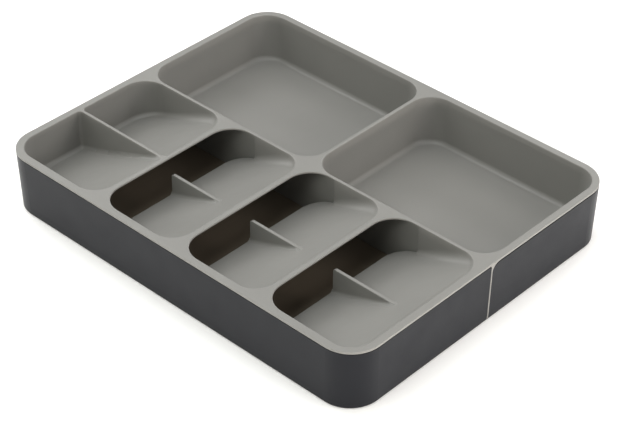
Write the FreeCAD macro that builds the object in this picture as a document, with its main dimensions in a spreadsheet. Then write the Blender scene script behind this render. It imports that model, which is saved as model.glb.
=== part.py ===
import FreeCAD, Part
import os
import Sketcher
from FreeCAD import Rotation, Vector

# Drawer organizer insert: a light upper tray moulding, clipped onto two dark base shells that stand
# on soft feet.  Millimetres.  +X runs along the long side, +Y towards the two large trays, +Z up.
# The origin is the centre of the footprint, on the plane that the feet rest on.

doc = FreeCAD.newDocument("drawer_organizer_insert")
sheet = doc.addObject("Spreadsheet::Sheet", "dims")

DIMENSIONS = [
    # whole object
    ("overall_length", 395.0),
    ("overall_width", 315.0),
    ("rim_level", 57.0),
    ("corner_radius", 28.0),
    ("side_draft_angle", 1.3),
    # upper tray: deck, web between the shells, large trays
    ("deck_thickness", 1.7),
    ("rim_edge_radius", 0.6),
    ("tray_wall", 1.3),
    ("web_front", 0.9),
    ("web_rear", 2.2),
    ("gusset_front_radius", 2.5),
    ("gusset_rear_radius", 8.0),
    ("gusset_reach", 0.6),
    ("tray_1_left", -191.1),
    ("tray_1_right", 2.9),
    ("tray_2_left", 6.1),
    ("tray_2_right", 191.1),
    ("tray_front", 1.7),
    ("tray_back", 151.0),
    ("tray_depth", 46.3),
    ("tray_corner_radius", 21.5),
    ("tray_floor_radius", 4.0),
    ("tray_draft_angle", 1.6),
    # cutlery lanes
    ("lane_front", -150.5),
    ("lane_back", -1.1),
    ("lane_corner_radius", 22.0),
    ("lane_core_depth", 50.0),
    ("lane_1_left", -190.9),
    ("lane_1_right", -87.5),
    ("lane_2_left", -84.8),
    ("lane_2_right", 3.5),
    ("lane_3_left", 6.2),
    ("lane_3_right", 94.5),
    ("lane_4_left", 96.7),
    ("lane_4_right", 192.8),
    ("divider_front", -77.4),
    ("divider_back", -74.6),
    ("divider_corner_radius", 3.6),
    # ramps: concave arcs that reach the rim level at the right end of each lane
    ("ramp_radius", 750.0),
    ("ramp_top_angle", 24.8),
    ("ramp_thickness", 1.8),
    ("ramp_foot_radius_low", 3.4),
    ("ramp_foot_radius_high", 8.0),
    ("ramp_start", 5.8),
    ("ramp_back", -0.2),
    ("ramp_corner_radius", 16.5),
    ("window_length", 28.3),
    ("window_foot_radius", 3.5),
    ("fin_start", 6.5),
    ("fin_length", 66.0),
    ("fin_front", -77.4),
    ("fin_back", -74.4),
    ("fin_top_drop", 11.0),
    ("fin_corner_radius", 3.0),
    ("fin_edge_radius", 0.7),
    ("fin_foot_radius", 2.5),
    # snap hooks under the rim and their slots in the shells
    ("hook_width", 14.0),
    ("hook_thickness", 1.2),
    ("hook_length", 12.0),
    ("hook_clearance", 0.6),
    ("hook_barb_height", 2.4),
    ("hook_barb_reach", 1.1),
    ("hook_slot_margin", 0.5),
    ("hook_spacing_long", 120.0),
    ("hook_spacing_short", 98.0),
    # base shells
    ("shell_wall", 2.0),
    ("shell_floor", 2.0),
    ("shell_floor_level", 9.4),
    ("shell_bottom_radius", 0.6),
    ("skirt_width", 4.0),
    ("seam_gap_front", 0.6),
    ("seam_gap_rear", 1.0),
    ("seam_corner_front", 4.0),
    ("seam_corner_rear", 8.0),
    ("web_clearance_front", 0.4),
    ("web_clearance_rear", 0.1),
    # feet
    ("foot_proud", 0.8),
    ("foot_thickness", 1.8),
    ("foot_radius", 6.0),
    ("foot_edge_radius", 0.4),
    ("foot_pocket_clearance", 0.2),
    ("foot_boss_wall", 1.8),
    ("foot_inset", 26.0),
    # how far joined pieces run into each other, and raw pieces run past what trims them
    ("overlap", 0.5),
    ("trim", 5.0),
]

for row, (alias, value) in enumerate(DIMENSIONS, start=1):
    sheet.set(f"A{row}", alias)
    sheet.set(f"B{row}", str(value))
    sheet.setAlias(f"B{row}", alias)
doc.recompute()

BELOW = "dims.rim_level - "
CORE_BOTTOM = "dims.rim_level - dims.lane_core_depth"
LIP_BOTTOM = "dims.rim_level - dims.deck_thickness"
HALF_LENGTH = "dims.overall_length / 2"
HALF_WIDTH = "dims.overall_width / 2"


# ---------------------------------------------------------------- helpers

def value(alias):
    return float(sheet.get(alias))


def origin_plane(body, role):
    return next(feature for feature in body.Origin.OriginFeatures if feature.Role == role)


def new_sketch(body, name, role, level):
    sketch = body.newObject("Sketcher::SketchObject", name)
    sketch.AttachmentSupport = [(origin_plane(body, role), "")]
    sketch.MapMode = "FlatFace"
    sketch.setExpression("AttachmentOffset.Base.z", level)
    return sketch


def bind(sketch, constraint, name, expression):
    index = sketch.addConstraint(constraint)
    sketch.renameConstraint(index, name)
    sketch.setExpression(f"Constraints.{name}", expression)


def draw_rectangle(sketch, left, right, front, back):
    """A rectangle whose four sides are placed from the origin by expressions."""
    corners = [Vector(-10, -10, 0), Vector(10, -10, 0), Vector(10, 10, 0), Vector(-10, 10, 0)]
    first = sketch.GeometryCount
    for index, corner in enumerate(corners):
        sketch.addGeometry(Part.LineSegment(corner, corners[(index + 1) % 4]))
    for index in range(4):
        sketch.addConstraint(Sketcher.Constraint("Coincident", first + index, 2, first + (index + 1) % 4, 1))
    for index, kind in enumerate(("Horizontal", "Vertical", "Horizontal", "Vertical")):
        sketch.addConstraint(Sketcher.Constraint(kind, first + index))
    bind(sketch, Sketcher.Constraint("DistanceX", -1, 1, first, 1, -10.0), "left", left)
    bind(sketch, Sketcher.Constraint("DistanceX", -1, 1, first + 1, 1, 10.0), "right", right)
    bind(sketch, Sketcher.Constraint("DistanceY", -1, 1, first, 1, -10.0), "front", front)
    bind(sketch, Sketcher.Constraint("DistanceY", -1, 1, first + 2, 1, 10.0), "back", back)


def draw_circle(sketch, name, centre_x, centre_y, radius):
    index = sketch.addGeometry(Part.Circle(Vector(1, 1, 0), Vector(0, 0, 1), 5.0))
    bind(sketch, Sketcher.Constraint("DistanceX", -1, 1, index, 3, 1.0), f"x_{name}", centre_x)
    bind(sketch, Sketcher.Constraint("DistanceY", -1, 1, index, 3, 1.0), f"y_{name}", centre_y)
    bind(sketch, Sketcher.Constraint("Radius", index, 5.0), f"r_{name}", radius)


def add_pad(body, sketch, name, length, downward=False, taper=None):
    pad = body.newObject("PartDesign::Pad", name)
    pad.Profile = sketch
    pad.setExpression("Length", length)
    pad.Reversed = downward
    if taper:
        pad.setExpression("TaperAngle", taper)
    return pad


def add_fillet(body, name, radius, chosen):
    """Rounds the edges of the body's tip for which chosen(edge) is true."""
    doc.recompute()
    base = body.Tip
    names = [f"Edge{i}" for i, edge in enumerate(base.Shape.Edges, start=1) if chosen(edge)]
    fillet = body.newObject("PartDesign::Fillet", name)
    fillet.Base = (base, names)
    fillet.setExpression("Radius", radius)
    doc.recompute()
    return fillet


def is_upright(edge):
    bounds = edge.BoundBox
    return bounds.ZLength > 4 * max(bounds.XLength, bounds.YLength)


def evaluate(expression):
    return float(sheet.evalExpression(expression))


def lies_at(edge, level):
    return edge.BoundBox.ZLength < 1e-4 and abs(edge.BoundBox.ZMax - level) < 1e-3


def slab(name, left, right, front, back, level, length, downward=False, taper=None):
    """A body with one rectangular pad."""
    body = doc.addObject("PartDesign::Body", name)
    sketch = new_sketch(body, f"{name}_outline", "XY_Plane", level)
    draw_rectangle(sketch, left, right, front, back)
    add_pad(body, sketch, f"{name}_pad", length, downward, taper)
    return body


def place(thing, x, y, z):
    thing.setExpression("Placement.Base.x", x)
    thing.setExpression("Placement.Base.y", y)
    thing.setExpression("Placement.Base.z", z)


def box(name, left, right, front, back, bottom, top):
    solid = doc.addObject("Part::Box", name)
    solid.setExpression("Length", f"({right}) - ({left})")
    solid.setExpression("Width", f"({back}) - ({front})")
    solid.setExpression("Height", f"({top}) - ({bottom})")
    place(solid, left, front, bottom)
    return solid


def fuse(name, shapes):
    joined = doc.addObject("Part::MultiFuse", name)
    joined.Shapes = shapes
    return joined


def cut(name, base, tool):
    result = doc.addObject("Part::Cut", name)
    result.Base = base
    result.Tool = tool
    return result


def common(name, first, second):
    result = doc.addObject("Part::Common", name)
    result.Base = first
    result.Tool = second
    return result


# ---------------------------------------------------------------- outer envelope

def envelope(name):
    """The outer form with its draft: a rounded rectangle that narrows from the rim to the base."""
    body = slab(name, f"-{HALF_LENGTH}", HALF_LENGTH, f"-{HALF_WIDTH}", HALF_WIDTH, "dims.rim_level",
                "dims.rim_level - dims.foot_proud", downward=True, taper="-dims.side_draft_angle")
    add_fillet(body, f"{name}_corners", "dims.corner_radius", is_upright)
    return body


# ---------------------------------------------------------------- upper tray

def large_tray(name, left, right):
    """Returns the outer block and the hollow of one large tray; both narrow downwards."""
    grown = "dims.tray_wall"
    outer = slab(f"{name}_outer", f"{left} - {grown}", f"{right} + {grown}", f"dims.tray_front - {grown}",
                 f"dims.tray_back + {grown}", "dims.rim_level", f"dims.tray_depth + {grown}",
                 downward=True, taper="-dims.tray_draft_angle")
    hollow = slab(f"{name}_hollow", left, right, "dims.tray_front", "dims.tray_back", "dims.rim_level",
                  "dims.tray_depth", downward=True, taper="-dims.tray_draft_angle")
    add_fillet(outer, f"{name}_outer_corners", f"dims.tray_corner_radius + {grown}", is_upright)
    add_fillet(hollow, f"{name}_hollow_corners", "dims.tray_corner_radius", is_upright)
    floor = value("rim_level") - value("tray_depth")
    add_fillet(outer, f"{name}_outer_bottom", f"dims.tray_floor_radius + {grown}",
               lambda edge: lies_at(edge, floor - value("tray_wall")))
    add_fillet(hollow, f"{name}_hollow_bottom", "dims.tray_floor_radius",
               lambda edge: lies_at(edge, floor))
    return outer, hollow


def ramp_axis_x(right):
    return f"({right} - dims.ramp_radius * sin(dims.ramp_top_angle * 1deg))"


RAMP_AXIS_LEVEL = "(dims.rim_level + dims.ramp_radius * cos(dims.ramp_top_angle * 1deg))"


def cylinder_along_y(name, radius, axis_x, axis_level):
    cylinder = doc.addObject("Part::Cylinder", name)
    cylinder.setExpression("Radius", radius)
    cylinder.setExpression("Height", "dims.overall_width")
    cylinder.Placement.Rotation = Rotation(Vector(1, 0, 0), -90)
    place(cylinder, axis_x, f"-{HALF_WIDTH}", axis_level)
    return cylinder


def ramp_cylinder(name, right, growth):
    """A cylinder along Y whose lower side is a ramp that meets the rim level at x = right."""
    return cylinder_along_y(name, f"dims.ramp_radius + {growth}", ramp_axis_x(right), RAMP_AXIS_LEVEL)


def on_base(name, base):
    """A body that carries on from an existing solid."""
    body = doc.addObject("PartDesign::Body", name)
    body.BaseFeature = base
    doc.recompute()
    return body


def round_corners(body, name, radius, limit):
    """Rounds the upright edges that stand on the line y = limit."""
    level = evaluate(limit)
    add_fillet(body, name, radius,
               lambda edge: is_upright(edge) and abs(edge.BoundBox.Center.y - level) < 1e-3)


def same_place(first, second):
    apart = (first.CenterOfMass - second.CenterOfMass).Length
    return apart < 1e-4 and abs(first.Length - second.Length) < 1e-4


def foot_radius_at(point, middle):
    """The round at the foot of a ramp's walls: large at the top of the ramp, small low down and
    beside the divider."""
    reach = value("divider_corner_radius") + value("overlap")
    beside_divider = value("divider_front") - reach < point.y < value("divider_back") + reach
    if point.x < middle or beside_divider:
        return value("ramp_foot_radius_low")
    return value("ramp_foot_radius_high")


def round_ramp_foot(name, base):
    """Rounds the loop of edges around a ramp; the radii at the two ends of an edge go anticlockwise."""
    doc.recompute()
    shape = base.Shape
    centre = shape.BoundBox.Center
    rounded = [face for face in shape.Faces if isinstance(face.Surface, Part.Cylinder)]
    ramps = [face for face in rounded if abs(face.Surface.Radius - value("ramp_radius")) < 1]
    loop = [edge for face in ramps for edge in face.Edges]
    radii = []
    for number, edge in enumerate(shape.Edges, start=1):
        if any(same_place(edge, other) for other in loop):
            ends = [edge.valueAt(edge.FirstParameter), edge.valueAt(edge.LastParameter)]
            if (ends[0] - centre).cross(ends[1] - centre).z < 0:
                ends.reverse()
            radii.append((number, foot_radius_at(ends[0], centre.x), foot_radius_at(ends[1], centre.x)))
    fillet = doc.addObject("Part::Fillet", name)
    fillet.Base = base
    fillet.Edges = radii
    return fillet


def lane_hollow(name, left, right, front, back, front_radius, back_radius):
    """The free space above a ramp, inside a rounded outline; it runs on above the rim."""
    outline = slab(f"{name}_space", left, right, front, back, CORE_BOTTOM,
                   "dims.lane_core_depth + 4 * dims.trim")
    round_corners(outline, f"{name}_front_corners", front_radius, front)
    round_corners(outline, f"{name}_back_corners", back_radius, back)
    above = common(f"{name}_above_ramp", outline, ramp_cylinder(f"{name}_ramp", right, "0"))
    return round_ramp_foot(f"{name}_hollow", above)


def ramp_block(name, left, right, left_radius):
    """The plate under a ramp with the side walls beside it, before the lane's hollow is cut."""
    outline = slab(f"{name}_outline", left, f"{right} + 2 * dims.overlap", "dims.lane_front - dims.tray_wall",
                   "dims.web_front + dims.overlap", CORE_BOTTOM, "dims.lane_core_depth")
    middle = evaluate(f"({left} + {right}) / 2")
    add_fillet(outline, f"{name}_left_corners", left_radius,
               lambda edge: is_upright(edge) and edge.BoundBox.Center.x < middle)
    add_fillet(outline, f"{name}_right_corners", "dims.lane_corner_radius + dims.tray_wall",
               lambda edge: is_upright(edge) and edge.BoundBox.Center.x > middle)
    return common(name, outline, ramp_cylinder(f"{name}_underside", right, "dims.ramp_thickness"))


def open_ramp_block(name, left, right):
    """A ramp block whose plate has a free, rounded rear left corner just in front of the tub."""
    block = ramp_block(f"{name}_block", f"{left} + dims.ramp_start", right, "dims.ramp_corner_radius")
    end = f"{left} + dims.window_length"
    front = "dims.ramp_back - 2 * dims.ramp_corner_radius"
    behind = box(f"{name}_behind", left, end, front, "dims.web_front + dims.trim", CORE_BOTTOM,
                 "dims.rim_level")
    plate = slab(f"{name}_plate", f"{left} + dims.ramp_start", f"{end} + dims.trim", f"{front} - dims.trim",
                 "dims.ramp_back", CORE_BOTTOM, "dims.lane_core_depth")
    corner_x = evaluate(f"{left} + dims.ramp_start")
    corner_y = value("ramp_back")
    add_fillet(plate, f"{name}_free_corner", "dims.ramp_corner_radius",
               lambda edge: is_upright(edge) and abs(edge.BoundBox.Center.x - corner_x) < 1e-3
               and abs(edge.BoundBox.Center.y - corner_y) < 1e-3)
    return cut(name, block, cut(f"{name}_gap", behind, plate))


def window(name, left, right):
    """Clears the low end of a lane between the ramp and the deck, so that it opens to both sides."""
    front = "dims.lane_front - dims.tray_wall - dims.overlap"
    back = "dims.tray_front - dims.tray_wall"
    room = box(f"{name}_room", left, f"{left} + dims.window_length", front, back, CORE_BOTTOM, LIP_BOTTOM)
    return common(name, room, ramp_cylinder(f"{name}_floor", right, "0"))


def window_foot(name, left, right):
    """The concave round between a ramp and the upright end of the wall beside its window."""
    radius = "dims.window_foot_radius"
    inner = f"(dims.ramp_radius - {radius})"
    end = f"({left} + dims.window_length)"
    from_axis = f"({end} - {radius} - {ramp_axis_x(right)})"
    round_level = f"({RAMP_AXIS_LEVEL} - sqrt({inner} * {inner} - {from_axis} * {from_axis}))"
    start = f"{ramp_axis_x(right)} + {from_axis} * dims.ramp_radius / {inner}"
    block = box(f"{name}_block", start, f"{end} + dims.overlap", "dims.lane_back",
                "dims.web_front + dims.overlap", CORE_BOTTOM, round_level)
    hollow = cylinder_along_y(f"{name}_round", radius, f"{end} - {radius}", round_level)
    return common(name, cut(f"{name}_rounded", block, hollow),
                  ramp_cylinder(f"{name}_underside", right, "dims.ramp_thickness"))


def flare_round(name, right, centre_y):
    """The ring that leaves a concave round between a ramp and one side of its fin."""
    ring = doc.addObject("Part::Torus", name)
    ring.setExpression("Radius1", "dims.ramp_radius - dims.fin_foot_radius")
    ring.setExpression("Radius2", "dims.fin_foot_radius")
    ring.Placement.Rotation = Rotation(Vector(1, 0, 0), -90)
    place(ring, ramp_axis_x(right), centre_y, RAMP_AXIS_LEVEL)
    return ring


def fin(name, left, right):
    """The low upright fin that splits a lane, with a flared foot sunk in the ramp plate."""
    start = f"{left} + dims.fin_start"
    end = f"{start} + dims.fin_length"
    top = f"{BELOW}dims.fin_top_drop"
    blade = slab(f"{name}_blade", start, end, "dims.fin_front", "dims.fin_back", CORE_BOTTOM,
                 "dims.lane_core_depth - dims.fin_top_drop")
    nose_x = evaluate(start)
    top_z = evaluate(top)
    add_fillet(blade, f"{name}_nose", "dims.fin_corner_radius",
               lambda edge: lies_at(edge, top_z) and abs(edge.BoundBox.Center.x - nose_x) < 1e-3)
    add_fillet(blade, f"{name}_edges", "dims.fin_edge_radius",
               lambda edge: edge.BoundBox.YLength < 1e-4 and edge.BoundBox.ZMax > evaluate(CORE_BOTTOM) + 1)

    front = "dims.fin_front - dims.fin_foot_radius"
    back = "dims.fin_back + dims.fin_foot_radius"
    raw_flare = box(f"{name}_raw_flare", f"{left} + dims.ramp_start", end, front, back, CORE_BOTTOM,
                    f"{top} - dims.fin_edge_radius")
    rounds = [ramp_cylinder(f"{name}_flare_top", right, "(-dims.fin_foot_radius)"),
              flare_round(f"{name}_front_round", right, front),
              flare_round(f"{name}_back_round", right, back)]
    flare = cut(f"{name}_flare", raw_flare, fuse(f"{name}_rounds", rounds))
    sunk = ramp_cylinder(f"{name}_foot", right, "dims.ramp_thickness / 2")
    return common(name, fuse(f"{name}_whole", [blade, flare]), sunk)


def gusset(name, side, radius, towards_front):
    """Fills the corner between the lip and the web with a concave round of the given radius."""
    end = f"{side} * ({HALF_LENGTH} - dims.shell_wall - dims.gusset_reach)"
    tip = f"{side} * ({HALF_LENGTH} + dims.trim)"
    left, right = (end, tip) if side > 0 else (tip, end)
    corner = "dims.web_front" if towards_front else "dims.web_rear"
    front, back = (f"{corner} - {radius}", corner) if towards_front else (corner, f"{corner} + {radius}")
    block = box(f"{name}_block", left, right, front, back, f"{LIP_BOTTOM} - {radius}", LIP_BOTTOM)
    round_tool = doc.addObject("Part::Cylinder", f"{name}_round")
    round_tool.setExpression("Radius", radius)
    round_tool.setExpression("Height", "4 * dims.trim")
    round_tool.Placement.Rotation = Rotation(Vector(0, 1, 0), 90)
    place(round_tool, f"{left} - dims.trim", front if towards_front else back, f"{LIP_BOTTOM} - {radius}")
    return cut(name, block, round_tool)


# side, word for the place along it, and where the middle of the hook is along that side
HOOK_SITES = []
for side in ("front", "rear"):
    for word, step in (("left", -1), ("middle", 0), ("right", 1)):
        HOOK_SITES.append((side, word, f"{step} * dims.hook_spacing_long"))
for side in ("left", "right"):
    for word, step in (("front", -1), ("rear", 1)):
        HOOK_SITES.append((side, word, f"{step} * dims.hook_spacing_short"))
HOOK_FACE = "(dims.shell_wall + dims.hook_clearance)"


def hook_box(name, side, centre, width, inner, outer, bottom, top):
    """A box near one wall: inner and outer are distances in from the outside of that wall."""
    half_span = HALF_WIDTH if side in ("front", "rear") else HALF_LENGTH
    along = (f"{centre} - {width} / 2", f"{centre} + {width} / 2")
    if side in ("front", "left"):
        across = (f"{outer} - {half_span}", f"{inner} - {half_span}")
    else:
        across = (f"{half_span} - {inner}", f"{half_span} - {outer}")
    if side in ("front", "rear"):
        return box(name, along[0], along[1], across[0], across[1], bottom, top)
    return box(name, across[0], across[1], along[0], along[1], bottom, top)


def snap_hooks():
    """Tongues that hang from the deck inside the shell walls, each with a nib at its lower end."""
    tip = f"{BELOW}dims.hook_length"
    root = f"{LIP_BOTTOM} + dims.overlap"
    nib_top = f"{tip} + dims.hook_barb_height"
    tongue_back = f"({HOOK_FACE} + dims.hook_thickness)"
    nib_back = f"({HOOK_FACE} + dims.overlap)"
    nib_front = f"({HOOK_FACE} - dims.hook_barb_reach)"
    solids = []
    for side, word, centre in HOOK_SITES:
        name = f"hook_{side}_{word}"
        solids.append(hook_box(f"{name}_tongue", side, centre, "dims.hook_width", tongue_back, HOOK_FACE,
                               tip, root))
        solids.append(hook_box(f"{name}_nib", side, centre, "dims.hook_width", nib_back, nib_front,
                               tip, nib_top))
    return solids


def hook_slots(shell_name, keep):
    """The recesses in a shell's walls that the nibs snap into."""
    low = f"{BELOW}dims.hook_length - dims.hook_slot_margin"
    high = f"{low} + dims.hook_barb_height + 2 * dims.hook_slot_margin"
    inner = f"({HOOK_FACE} + dims.overlap)"
    outer = f"({HOOK_FACE} - dims.hook_barb_reach - dims.hook_slot_margin)"
    width = "dims.hook_width + 2 * dims.hook_slot_margin"
    slots = []
    for side, word, centre in HOOK_SITES:
        if keep(side, evaluate(centre)):
            name = f"{shell_name}_slot_{side}_{word}"
            slots.append(hook_box(name, side, centre, width, inner, outer, low, high))
    return slots


def build_upper_tray():
    """One light moulding: deck, two tubs, ramped lanes, fins, the web between the shells, hooks."""
    tub_1, tub_1_hollow = large_tray("tray_1", "dims.tray_1_left", "dims.tray_1_right")
    tub_2, tub_2_hollow = large_tray("tray_2", "dims.tray_2_left", "dims.tray_2_right")
    ends = (f"-{HALF_LENGTH} - dims.trim", f"{HALF_LENGTH} + dims.trim")
    sides = (f"-{HALF_WIDTH} - dims.trim", f"{HALF_WIDTH} + dims.trim")
    deck = box("deck", *ends, *sides, LIP_BOTTOM, "dims.rim_level")
    web = box("web", *ends, "dims.web_front", "dims.web_rear", "dims.foot_proud", "dims.rim_level")
    solids = [deck, web, tub_1, tub_2]
    hollows = [tub_1_hollow, tub_2_hollow]
    additions = snap_hooks()

    front, back = "dims.lane_front", "dims.lane_back"
    big, small = "dims.lane_corner_radius", "dims.divider_corner_radius"
    left = "dims.lane_1_left"
    right = "dims.lane_1_right"
    solids.append(ramp_block("ramp_1", f"{left} - dims.tray_wall", right, f"{big} + dims.tray_wall"))
    hollows.append(lane_hollow("lane_1_front", left, right, front, "dims.divider_front", big, small))
    hollows.append(lane_hollow("lane_1_back", left, right, "dims.divider_back", back, small, big))
    for number in (2, 3, 4):
        left = f"dims.lane_{number}_left"
        right = f"dims.lane_{number}_right"
        solids.append(open_ramp_block(f"ramp_{number}", left, right))
        hollows.append(lane_hollow(f"lane_{number}", left, right, front, back, big, big))
        hollows.append(window(f"window_{number}", left, right))
        additions.append(fin(f"fin_{number}", left, right))
        additions.append(window_foot(f"window_foot_{number}", left, right))

    for side, label in ((-1, "left"), (1, "right")):
        solids.append(gusset(f"gusset_{label}_front", side, "dims.gusset_front_radius", True))
        solids.append(gusset(f"gusset_{label}_rear", side, "dims.gusset_rear_radius", False))

    hollowed = cut("hollowed", fuse("tray_solids", solids), fuse("tray_hollows", hollows))
    joined = fuse("tray_joined", [hollowed] + additions)
    trimmed = common("tray_trimmed", joined, envelope("tray_envelope"))
    tray = on_base("upper_tray", trimmed)
    add_fillet(tray, "rim_edges", "dims.rim_edge_radius", lambda edge: lies_at(edge, value("rim_level")))
    return tray


# ---------------------------------------------------------------- base shells

def inset_form(name, level, distance, height, corner_radius, taper=None):
    """A rounded block inside the drafted outer form, the distance in from it at the given level."""
    shrink = f"((dims.rim_level - ({level})) * tan(dims.side_draft_angle) + {distance})"
    body = slab(name, f"{shrink} - {HALF_LENGTH}", f"{HALF_LENGTH} - {shrink}", f"{shrink} - {HALF_WIDTH}",
                f"{HALF_WIDTH} - {shrink}", level, height, downward=taper is not None, taper=taper)
    add_fillet(body, f"{name}_corners", corner_radius, is_upright)
    return body


def foot_places(is_front):
    """The four feet of one shell: the words that name each place, then its x and y expressions."""
    outer_y = f"dims.foot_inset - {HALF_WIDTH}" if is_front else f"{HALF_WIDTH} - dims.foot_inset"
    inner_y = "dims.web_front - dims.foot_inset" if is_front else "dims.web_rear + dims.foot_inset"
    columns = (("left", f"dims.foot_inset - {HALF_LENGTH}"), ("right", f"{HALF_LENGTH} - dims.foot_inset"))
    rows = (("outer", outer_y), ("inner", inner_y))
    return [(f"{column}_{row}", x, y) for column, x in columns for row, y in rows]


def post(name, x, y, radius, bottom, top):
    cylinder = doc.addObject("Part::Cylinder", name)
    cylinder.setExpression("Radius", radius)
    cylinder.setExpression("Height", f"({top}) - ({bottom})")
    place(cylinder, x, y, bottom)
    return cylinder


def base_shell(name, is_front):
    """One dark half of the base: outer walls with draft, a raised floor and bosses for the feet."""
    side_name = "front" if is_front else "rear"
    wall_top = f"{LIP_BOTTOM} - dims.seam_gap_{side_name}"
    form = envelope(f"{name}_form")
    add_fillet(form, f"{name}_bottom_round", "dims.shell_bottom_radius",
               lambda edge: lies_at(edge, value("foot_proud")))
    room = inset_form(f"{name}_room", wall_top, "dims.shell_wall", f"{wall_top} - dims.shell_floor_level",
                      "dims.corner_radius - dims.shell_wall", taper="-dims.side_draft_angle")
    recess = inset_form(f"{name}_recess", "dims.foot_proud", "dims.skirt_width",
                        "dims.shell_floor_level - dims.shell_floor - dims.foot_proud",
                        "dims.corner_radius - dims.skirt_width")
    seam = "dims.web_front - dims.web_clearance_front"
    if not is_front:
        seam = "dims.web_rear + dims.web_clearance_rear"
    ends = (f"-{HALF_LENGTH} - dims.trim", f"{HALF_LENGTH} + dims.trim")
    near, far = f"-{HALF_WIDTH} - dims.trim", f"{HALF_WIDTH} + dims.trim"
    front, back = (seam, far) if is_front else (near, seam)
    top = "dims.rim_level + dims.trim"
    other_half = box(f"{name}_other_half", *ends, front, back, "-dims.trim", top)
    above = box(f"{name}_above", *ends, near, far, wall_top, top)

    bosses = []
    pockets = []
    for label, x, y in foot_places(is_front):
        bosses.append(post(f"{name}_boss_{label}", x, y,
                           "dims.foot_radius + dims.foot_pocket_clearance + dims.foot_boss_wall",
                           "dims.foot_proud", "dims.shell_floor_level - dims.shell_floor / 2"))
        pockets.append(post(f"{name}_pocket_{label}", x, y, "dims.foot_radius + dims.foot_pocket_clearance",
                            "-dims.trim", "dims.foot_thickness"))

    slots = hook_slots(name, lambda side, along: side == side_name
                       or side in ("left", "right") and (along < 0) == is_front)
    open_box = cut(f"{name}_open", form, fuse(f"{name}_spaces", [room, recess, other_half, above]))
    bossed = fuse(f"{name}_bossed", [open_box] + bosses)
    finished = cut(f"{name}_pocketed", bossed, fuse(f"{name}_cuts", pockets + slots))
    shell = on_base(name, finished)

    seam_y = evaluate(seam)
    top_z = evaluate(wall_top)
    add_fillet(shell, f"{name}_seam_corners", f"dims.seam_corner_{side_name}",
               lambda edge: lies_at(edge, top_z) and abs(edge.BoundBox.YMin - seam_y) < 1e-3
               and edge.BoundBox.YLength < 1e-4)
    return shell


def foot(name, x, y):
    """A round soft pad with a small radius around its lower edge."""
    body = doc.addObject("PartDesign::Body", name)
    sketch = new_sketch(body, f"{name}_outline", "XY_Plane", "0")
    draw_circle(sketch, "pad", x, y, "dims.foot_radius")
    add_pad(body, sketch, f"{name}_pad", "dims.foot_thickness")
    add_fillet(body, f"{name}_edge", "dims.foot_edge_radius", lambda edge: lies_at(edge, 0.0))
    return body


nodes = {"upper_tray": build_upper_tray()}
for half, is_front in (("front", True), ("rear", False)):
    nodes[f"{half}_base_shell"] = base_shell(f"{half}_base_shell", is_front)
    for label, x, y in foot_places(is_front):
        nodes[f"{half}_foot_{label}"] = foot(f"{half}_foot_{label}", x, y)

doc.recompute()

for label, node in nodes.items():
    node.Label = label

failed = [obj.Name for obj in doc.Objects if "Invalid" in obj.State or "Error" in obj.State]
if failed:
    raise RuntimeError(f"objects that did not build: {failed}")

os.makedirs("parts", exist_ok=True)
for label, node in nodes.items():
    shape = node.Shape
    if shape.isNull() or not shape.isValid() or len(shape.Solids) != 1:
        raise RuntimeError(f"{label} is not one valid solid: {len(shape.Solids)}")
    shape.exportStep(f"parts/{label}.step")
    print(f"{label}: {shape.Volume / 1000:.1f} cm3")
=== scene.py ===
import math

import bpy
from mathutils import Matrix, Vector

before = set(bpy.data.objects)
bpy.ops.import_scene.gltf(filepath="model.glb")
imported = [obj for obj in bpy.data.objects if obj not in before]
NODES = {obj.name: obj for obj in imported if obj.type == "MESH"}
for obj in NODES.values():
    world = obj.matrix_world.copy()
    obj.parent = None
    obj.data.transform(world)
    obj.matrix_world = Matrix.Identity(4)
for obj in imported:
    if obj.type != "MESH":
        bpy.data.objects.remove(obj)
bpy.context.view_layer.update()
SCENE = bpy.context.scene

# ---------------------------------------------------------------- camera

VIEW_AZIMUTH = math.radians(133.1)      # direction of sight in plan, from +X towards +Y
VIEW_ELEVATION = math.radians(36.9)
VIEW_ROLL = math.radians(0.27)
VIEW_DISTANCE = 1.617
VIEW_SHIFT_RIGHT = 0.0063               # the line of sight passes this far right of its anchor point
VIEW_SHIFT_UP = 0.0034                  # and this far above it
VIEW_ANCHOR_LEVEL = 0.002               # the anchor point is above the middle of the footprint
SENSOR_WIDTH = 36.0                     # millimetres, as is the focal length
FOCAL_LENGTH = 111.1
NEAREST_SEEN = 0.05
FARTHEST_SEEN = 50.0


def make_camera():
    """A long lens that looks down on the near corner of the object."""
    forward = Vector((math.cos(VIEW_AZIMUTH) * math.cos(VIEW_ELEVATION),
                      math.sin(VIEW_AZIMUTH) * math.cos(VIEW_ELEVATION),
                      -math.sin(VIEW_ELEVATION)))
    level = Vector((math.sin(VIEW_AZIMUTH), -math.cos(VIEW_AZIMUTH), 0.0))
    upright = level.cross(forward)
    right = math.cos(VIEW_ROLL) * level + math.sin(VIEW_ROLL) * upright
    up = math.cos(VIEW_ROLL) * upright - math.sin(VIEW_ROLL) * level
    place = VIEW_SHIFT_RIGHT * right + VIEW_SHIFT_UP * up - VIEW_DISTANCE * forward
    place.z += VIEW_ANCHOR_LEVEL
    data = bpy.data.cameras.new("camera")
    data.sensor_width = SENSOR_WIDTH
    data.lens = FOCAL_LENGTH
    data.clip_start = NEAREST_SEEN
    data.clip_end = FARTHEST_SEEN
    camera = bpy.data.objects.new("camera", data)
    SCENE.collection.objects.link(camera)
    axes = Matrix((right, up, -forward)).transposed().to_4x4()
    camera.matrix_world = Matrix.Translation(place) @ axes
    SCENE.camera = camera


# ---------------------------------------------------------------- studio

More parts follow.
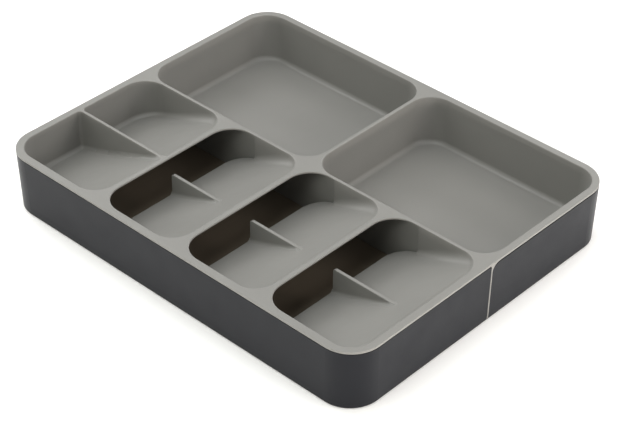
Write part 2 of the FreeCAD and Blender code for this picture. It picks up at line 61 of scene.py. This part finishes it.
def area_light(name, place, target, size, power, colour):
    """A rectangular light panel that faces the target."""
    data = bpy.data.lights.new(name, "AREA")
    data.shape = "RECTANGLE"
    data.size, data.size_y = size
    data.energy = power
    data.color = colour
    light = bpy.data.objects.new(name, data)
    SCENE.collection.objects.link(light)
    light.location = place
    light.rotation_euler = (Vector(target) - Vector(place)).to_track_quat("-Z", "Y").to_euler()


WHITE = (1.0, 1.0, 1.0)
COOL_WHITE = (0.97, 1.0, 1.04)
WARM_WHITE = (1.04, 0.98, 0.92)
GREENISH_WHITE = (1.0, 1.04, 0.98)

# name, place, width and height, power in watts, colour: every panel faces the same point
PANELS = (
    ("overhead", (0.0, 0.0, 1.7), (1.0, 1.0), 10.0, COOL_WHITE),
    ("overhead_back", (0.0, 1.0, 1.4), (1.2, 0.8), 1.5, WHITE),
    ("overhead_left", (-1.1, 0.0, 1.4), (0.8, 1.2), 11.0, WHITE),
    ("overhead_front", (0.0, -1.1, 1.4), (1.2, 0.8), 10.0, GREENISH_WHITE),
    ("sheen", (-1.38, 0.8, 1.2), (0.6, 0.6), 3.5, WHITE),
    ("back", (-0.2, 1.8, 0.7), (1.6, 0.8), 15.0, WHITE),
    ("right", (1.8, 0.2, 0.7), (1.2, 0.8), 13.0, WHITE),
    ("near_right", (0.75, 0.35, 0.45), (0.4, 0.4), 2.0, WARM_WHITE),
    ("left", (-1.8, -0.2, 0.7), (1.2, 0.8), 8.0, WHITE),
    ("front_left", (-1.2, -1.5, 0.8), (1.2, 0.8), 3.5, GREENISH_WHITE),
    ("low_right", (1.3, -0.1, 0.07), (1.2, 0.1), 10.0, WARM_WHITE),
    ("low_front", (-0.1, -1.3, 0.07), (1.2, 0.1), 6.0, WARM_WHITE),
)
PANEL_TARGET = (0.0, 0.0, 0.03)
SURROUND_STRENGTH = 0.22
SURROUND_COLOUR = (1.03, 1.01, 0.95, 1.0)


def make_studio():
    """Soft panels overhead and around the sides in a dim, even surround."""
    for name, place, size, power, colour in PANELS:
        area_light(name, place, PANEL_TARGET, size, power, colour)
    world = bpy.data.worlds.new("surround")
    SCENE.world = world
    world.use_nodes = True
    background = world.node_tree.nodes["Background"]
    background.inputs["Color"].default_value = SURROUND_COLOUR
    background.inputs["Strength"].default_value = SURROUND_STRENGTH
    SCENE.view_settings.view_transform = "Standard"
    SCENE.view_settings.look = "None"


FLOOR_HALF_SIZE = 6.0
FLOOR_ROUGHNESS = 0.9
FLOOR_GLOW = 0.12
FLOOR_COLOUR = (0.95, 0.94, 0.93, 1.0)
FLOOR_GLOW_COLOUR = (1.0, 0.985, 0.965, 1.0)


def make_floor():
    """A flat white floor that glows a little, as a lit table does."""
    mesh = bpy.data.meshes.new("floor")
    reach = FLOOR_HALF_SIZE
    corners = [(-reach, -reach, 0.0), (reach, -reach, 0.0), (reach, reach, 0.0), (-reach, reach, 0.0)]
    mesh.from_pydata(corners, [], [(0, 1, 2, 3)])
    floor = bpy.data.objects.new("floor", mesh)
    SCENE.collection.objects.link(floor)
    material = bpy.data.materials.new("floor_white")
    material.use_nodes = True
    shader = material.node_tree.nodes["Principled BSDF"]
    shader.inputs["Base Color"].default_value = FLOOR_COLOUR
    shader.inputs["Roughness"].default_value = FLOOR_ROUGHNESS
    shader.inputs["Emission Color"].default_value = FLOOR_GLOW_COLOUR
    shader.inputs["Emission Strength"].default_value = FLOOR_GLOW
    mesh.materials.append(material)


# ---------------------------------------------------------------- materials

# noise patterns: how many features to a metre, and how many finer layers
FLOW_CLOUDS = {"scale": 14.0, "detail": 4.0}
GLOSS_PATCHES = {"scale": 45.0, "detail": 6.0}
SCUFFS = {"scale": 180.0, "detail": 5.0}
MOULD_GRAIN = {"scale": 1800.0, "detail": 3.0}
NOISE_SPAN = (0.3, 0.7)                 # the part of a noise pattern's range that is stretched
FLOW_CONTRAST = 0.03                    # share of the colour
GLOSS_CONTRAST = 0.045                  # added to and taken from the roughness
GRAIN_STRENGTH = 0.6
FINE_GRAIN = 0.00004                    # depths, in metres
COARSE_GRAIN = 0.00008

# edges: radii in metres, and the cosines of the lean at which the paler edge (rubbed wear and a painted
# highlight) starts and is full
SOFT_EDGE = 0.0008
CRISP_EDGE = 0.0003
EDGE_SAMPLES = 4
WEAR_AND_HIGHLIGHT_STARTS = 0.98
WEAR_AND_HIGHLIGHT_IS_FULL = 0.80

# a paler edge, partly rubbed wear and partly a painted highlight: the colour times the gain, plus the lift
WEAR_AND_HIGHLIGHT_GAIN = 1.7
WEAR_AND_HIGHLIGHT_LIFT = 0.01
# how strongly edges are paled, for wear and a painted highlight together
FULL_WEAR_AND_HIGHLIGHT = 1.0
SLIGHT_WEAR_AND_HIGHLIGHT = 0.2

LIGHT_PLASTIC = (0.207, 0.2025, 0.190)
DARK_PLASTIC = (0.0080, 0.0086, 0.0112)
# painted bounce light: the dark shell's inner floor gets a warm tone many times brighter than its plastic
DARK_PLASTIC_PAINTED_BOUNCE = (0.141, 0.116, 0.088)
FOOT_RUBBER = (0.06, 0.06, 0.06)

# where painted bounce light brightens a shell's inner floor: faces that look up by more than this cosine,
# below this height
LOOKS_UP = 0.7
INSIDE_FLOOR_TOP = 0.02


def add_node(tree, kind, inputs, **settings):
    """Adds a node, sets its plain settings, then each input from a number, a tuple or a socket."""
    node = tree.nodes.new(kind)
    for key, setting in settings.items():
        setattr(node, key, setting)
    for key, source in inputs.items():
        if isinstance(source, bpy.types.NodeSocket):
            tree.links.new(source, node.inputs[key])
        else:
            node.inputs[key].default_value = source
    return node


def noise(tree, place, pattern):
    return add_node(tree, "ShaderNodeTexNoise",
                    {"Vector": place, "Scale": pattern["scale"], "Detail": pattern["detail"]}).outputs["Fac"]


def remap(tree, source, source_range, target_range):
    """Stretches one range of a value over another."""
    return add_node(tree, "ShaderNodeMapRange",
                    {"Value": source, "From Min": source_range[0], "From Max": source_range[1],
                     "To Min": target_range[0], "To Max": target_range[1]}).outputs["Result"]


def calculate(tree, operation, first, second):
    return add_node(tree, "ShaderNodeMath", {0: first, 1: second}, operation=operation).outputs["Value"]


def mix(tree, amount, first, second, blend_type="MIX"):
    return add_node(tree, "ShaderNodeMixRGB", {"Fac": amount, "Color1": first, "Color2": second},
                    blend_type=blend_type).outputs["Color"]


def height_part(tree, vector):
    return add_node(tree, "ShaderNodeSeparateXYZ", {"Vector": vector}).outputs["Z"]


def opaque(colour):
    return (*colour, 1.0)


def moulded_plastic(name, colour, roughness, reflection, grain_depth=FINE_GRAIN, edge_radius=SOFT_EDGE,
                    edge_wear_and_highlight=FULL_WEAR_AND_HIGHLIGHT, painted_bounce_colour=None):
    """Satin moulded plastic: a fine spark-eroded grain, faint flow clouds, softened edges made paler
    by slight rubbing and a painted edge highlight. The floor inside a dark shell can take a warm, brighter
    tone of painted bounce light."""
    material = bpy.data.materials.new(name)
    material.use_nodes = True
    tree = material.node_tree
    shader = tree.nodes["Principled BSDF"]
    place = tree.nodes.new("ShaderNodeTexCoord").outputs["Object"]
    geometry = tree.nodes.new("ShaderNodeNewGeometry")

    tone = opaque(colour)
    # painted bounce light: a warm, brighter tone on the dark shell's inner floor
    if painted_bounce_colour:
        looks_up = calculate(tree, "GREATER_THAN", height_part(tree, geometry.outputs["True Normal"]),
                             LOOKS_UP)
        lies_low = calculate(tree, "LESS_THAN", height_part(tree, place), INSIDE_FLOOR_TOP)
        tone = mix(tree, calculate(tree, "MULTIPLY", looks_up, lies_low), tone, opaque(painted_bounce_colour))
    flow = remap(tree, noise(tree, place, FLOW_CLOUDS), NOISE_SPAN,
                 (1.0 - FLOW_CONTRAST, 1.0 + FLOW_CONTRAST))
    clouded = mix(tree, 1.0, tone, flow, "MULTIPLY")

    soft_normal = add_node(tree, "ShaderNodeBevel", {"Radius": edge_radius},
                           samples=EDGE_SAMPLES).outputs["Normal"]
    lean = add_node(tree, "ShaderNodeVectorMath", {0: soft_normal, 1: geometry.outputs["Normal"]},
                    operation="DOT_PRODUCT").outputs["Value"]
    # paler edges: slight rubbed wear together with a painted edge highlight
    edge_mask_wear_and_highlight = remap(tree, lean, (WEAR_AND_HIGHLIGHT_STARTS, WEAR_AND_HIGHLIGHT_IS_FULL), (0.0, edge_wear_and_highlight))
    scuffed_wear_and_highlight = calculate(tree, "MULTIPLY", edge_mask_wear_and_highlight, noise(tree, place, SCUFFS))
    pale_wear_and_highlight = opaque([channel * WEAR_AND_HIGHLIGHT_GAIN + WEAR_AND_HIGHLIGHT_LIFT for channel in colour])
    tree.links.new(mix(tree, scuffed_wear_and_highlight, clouded, pale_wear_and_highlight), shader.inputs["Base Color"])

    gloss = remap(tree, noise(tree, place, GLOSS_PATCHES), NOISE_SPAN,
                  (roughness - GLOSS_CONTRAST, roughness + GLOSS_CONTRAST))
    tree.links.new(gloss, shader.inputs["Roughness"])
    shader.inputs["Specular IOR Level"].default_value = reflection

    grain = add_node(tree, "ShaderNodeBump",
                     {"Height": noise(tree, place, MOULD_GRAIN), "Distance": grain_depth,
                      "Strength": GRAIN_STRENGTH, "Normal": soft_normal})
    tree.links.new(grain.outputs["Normal"], shader.inputs["Normal"])
    return material


def dress_nodes():
    """Gives every node its look through its material slots."""
    light = moulded_plastic("light_plastic_look", LIGHT_PLASTIC, roughness=0.435, reflection=0.37)
    # the dark shell's inner floor carries painted bounce light
    dark = moulded_plastic("dark_plastic_look", DARK_PLASTIC, roughness=0.385, reflection=0.17,
                           edge_radius=CRISP_EDGE, edge_wear_and_highlight=SLIGHT_WEAR_AND_HIGHLIGHT,
                           painted_bounce_colour=DARK_PLASTIC_PAINTED_BOUNCE)
    rubber = moulded_plastic("foot_rubber_look", FOOT_RUBBER, roughness=0.8, reflection=0.3,
                             grain_depth=COARSE_GRAIN)
    for name, node in NODES.items():
        look = rubber
        if name == "upper_tray":
            look = light
        elif name.endswith("base_shell"):
            look = dark
        for slot in node.material_slots:
            slot.material = look


# ---------------------------------------------------------------- scene

make_camera()
make_studio()
make_floor()
dress_nodes()
